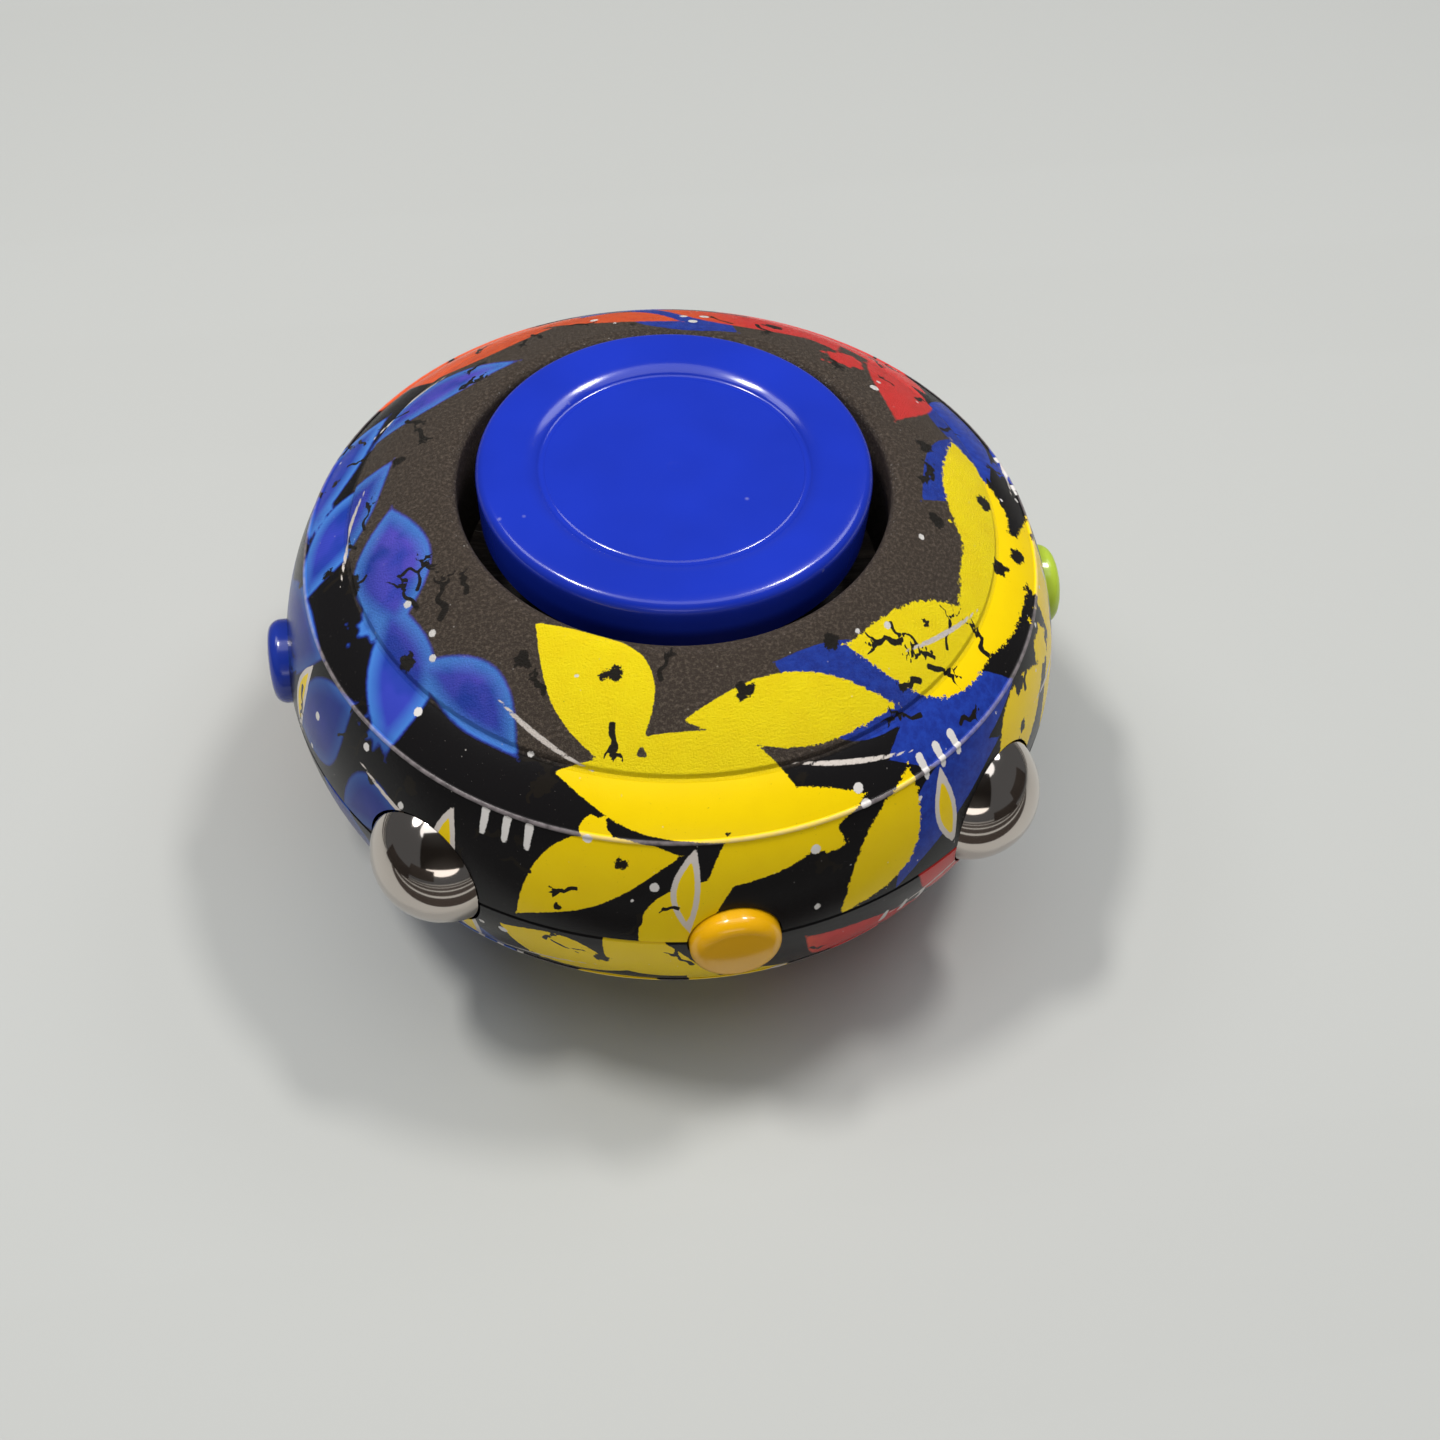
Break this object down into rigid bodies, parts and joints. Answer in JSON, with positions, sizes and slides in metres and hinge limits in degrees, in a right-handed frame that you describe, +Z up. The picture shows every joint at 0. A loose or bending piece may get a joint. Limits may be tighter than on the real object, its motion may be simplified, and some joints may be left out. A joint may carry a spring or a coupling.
{
  "type": "fingertip spinner",
  "caption": "Oblate printed plastic spinner that turns on a central bearing between finger pads, with steel balls and spring push buttons round its seam.",
  "frame": {"origin": "on the spin axis, in the plane of the lower finger pad's raised ring, which the spinner stands on", "axes": "+Z up along the spin axis; -Y to the yellow front button; +X to the green button on the right"},
  "size_m": [0.0654, 0.0654, 0.0366],
  "materials": {
    "printed_shell": "black plastic under a film print of street-art shapes; fine matte grain on the dome, gloss on the band and side",
    "pad_blue": "polished royal blue moulded plastic",
    "ball_chrome": "mirror polished steel",
    "button_yellow": "glossy amber yellow plastic",
    "button_blue": "glossy dark blue plastic",
    "button_green": "glossy yellow-green plastic",
    "button_red": "glossy red plastic",
    "bearing_steel": "ground bearing steel",
    "shield_steel": "pressed sheet steel",
    "cage_nylon": "natural nylon",
    "pin_steel": "drawn steel pin",
    "spring_steel": "drawn spring wire",
    "screw_steel": "zinc plated steel"
  },
  "bodies": {
    "hub": {"upper_pad": "pad_blue", "lower_pad": "pad_blue", "centre_pin": "pin_steel", "bearing_inner_race": "bearing_steel"},
    "spinner": {"upper_shell": "printed_shell", "lower_shell": "printed_shell", "bearing_outer_race": "bearing_steel", "bearing_shield_upper": "shield_steel", "bearing_shield_lower": "shield_steel", "shell_screws": "screw_steel", "button_spring_right": "spring_steel", "button_spring_rear": "spring_steel", "button_spring_left": "spring_steel", "button_spring_front": "spring_steel"},
    "cage": {"bearing_cage": "cage_nylon", "bearing_balls": "bearing_steel"},
    "ball_front_right": {"steel_ball_front_right": "ball_chrome"},
    "ball_rear_right": {"steel_ball_rear_right": "ball_chrome"},
    "ball_rear_left": {"steel_ball_rear_left": "ball_chrome"},
    "ball_front_left": {"steel_ball_front_left": "ball_chrome"},
    "press_right": {"button_right": "button_green"},
    "press_rear": {"button_rear": "button_red"},
    "press_left": {"button_left": "button_blue"},
    "press_front": {"button_front": "button_yellow"}
  },
  "joints": [
    {"name": "body_spin", "type": "hinge", "parent": "hub", "child": "spinner", "pos_m": [0, 0, 0.0183], "axis": [0, 0, 1], "continuous": true},
    {"name": "cage_spin", "type": "hinge", "parent": "hub", "child": "cage", "pos_m": [0, 0, 0.0183], "axis": [0, 0, 1], "continuous": true},
    {"name": "ball_front_right_roll", "type": "hinge", "parent": "spinner", "child": "ball_front_right", "pos_m": [0.02022, -0.02022, 0.0183], "axis": [0.7071, 0.7071, 0], "continuous": true},
    {"name": "ball_rear_right_roll", "type": "hinge", "parent": "spinner", "child": "ball_rear_right", "pos_m": [0.02022, 0.02022, 0.0183], "axis": [-0.7071, 0.7071, 0], "continuous": true},
    {"name": "ball_rear_left_roll", "type": "hinge", "parent": "spinner", "child": "ball_rear_left", "pos_m": [-0.02022, 0.02022, 0.0183], "axis": [-0.7071, -0.7071, 0], "continuous": true},
    {"name": "ball_front_left_roll", "type": "hinge", "parent": "spinner", "child": "ball_front_left", "pos_m": [-0.02022, -0.02022, 0.0183], "axis": [0.7071, -0.7071, 0], "continuous": true},
    {"name": "button_right_press", "type": "slide", "parent": "spinner", "child": "press_right", "axis": [-1, 0, 0], "range_m": [0, 0.0015], "stiffness_N_per_m": 500, "springref_m": -0.0012, "deforming": ["button_spring_right"]},
    {"name": "button_rear_press", "type": "slide", "parent": "spinner", "child": "press_rear", "axis": [0, -1, 0], "range_m": [0, 0.0015], "stiffness_N_per_m": 500, "springref_m": -0.0012, "deforming": ["button_spring_rear"]},
    {"name": "button_left_press", "type": "slide", "parent": "spinner", "child": "press_left", "axis": [1, 0, 0], "range_m": [0, 0.0015], "stiffness_N_per_m": 500, "springref_m": -0.0012, "deforming": ["button_spring_left"]},
    {"name": "button_front_press", "type": "slide", "parent": "spinner", "child": "press_front", "axis": [0, 1, 0], "range_m": [0, 0.0015], "stiffness_N_per_m": 500, "springref_m": -0.0012, "deforming": ["button_spring_front"]}
  ],
  "couplings": [
    {"joint": "cage_spin", "follows": "body_spin", "ratio": 0.6323}
  ]
}
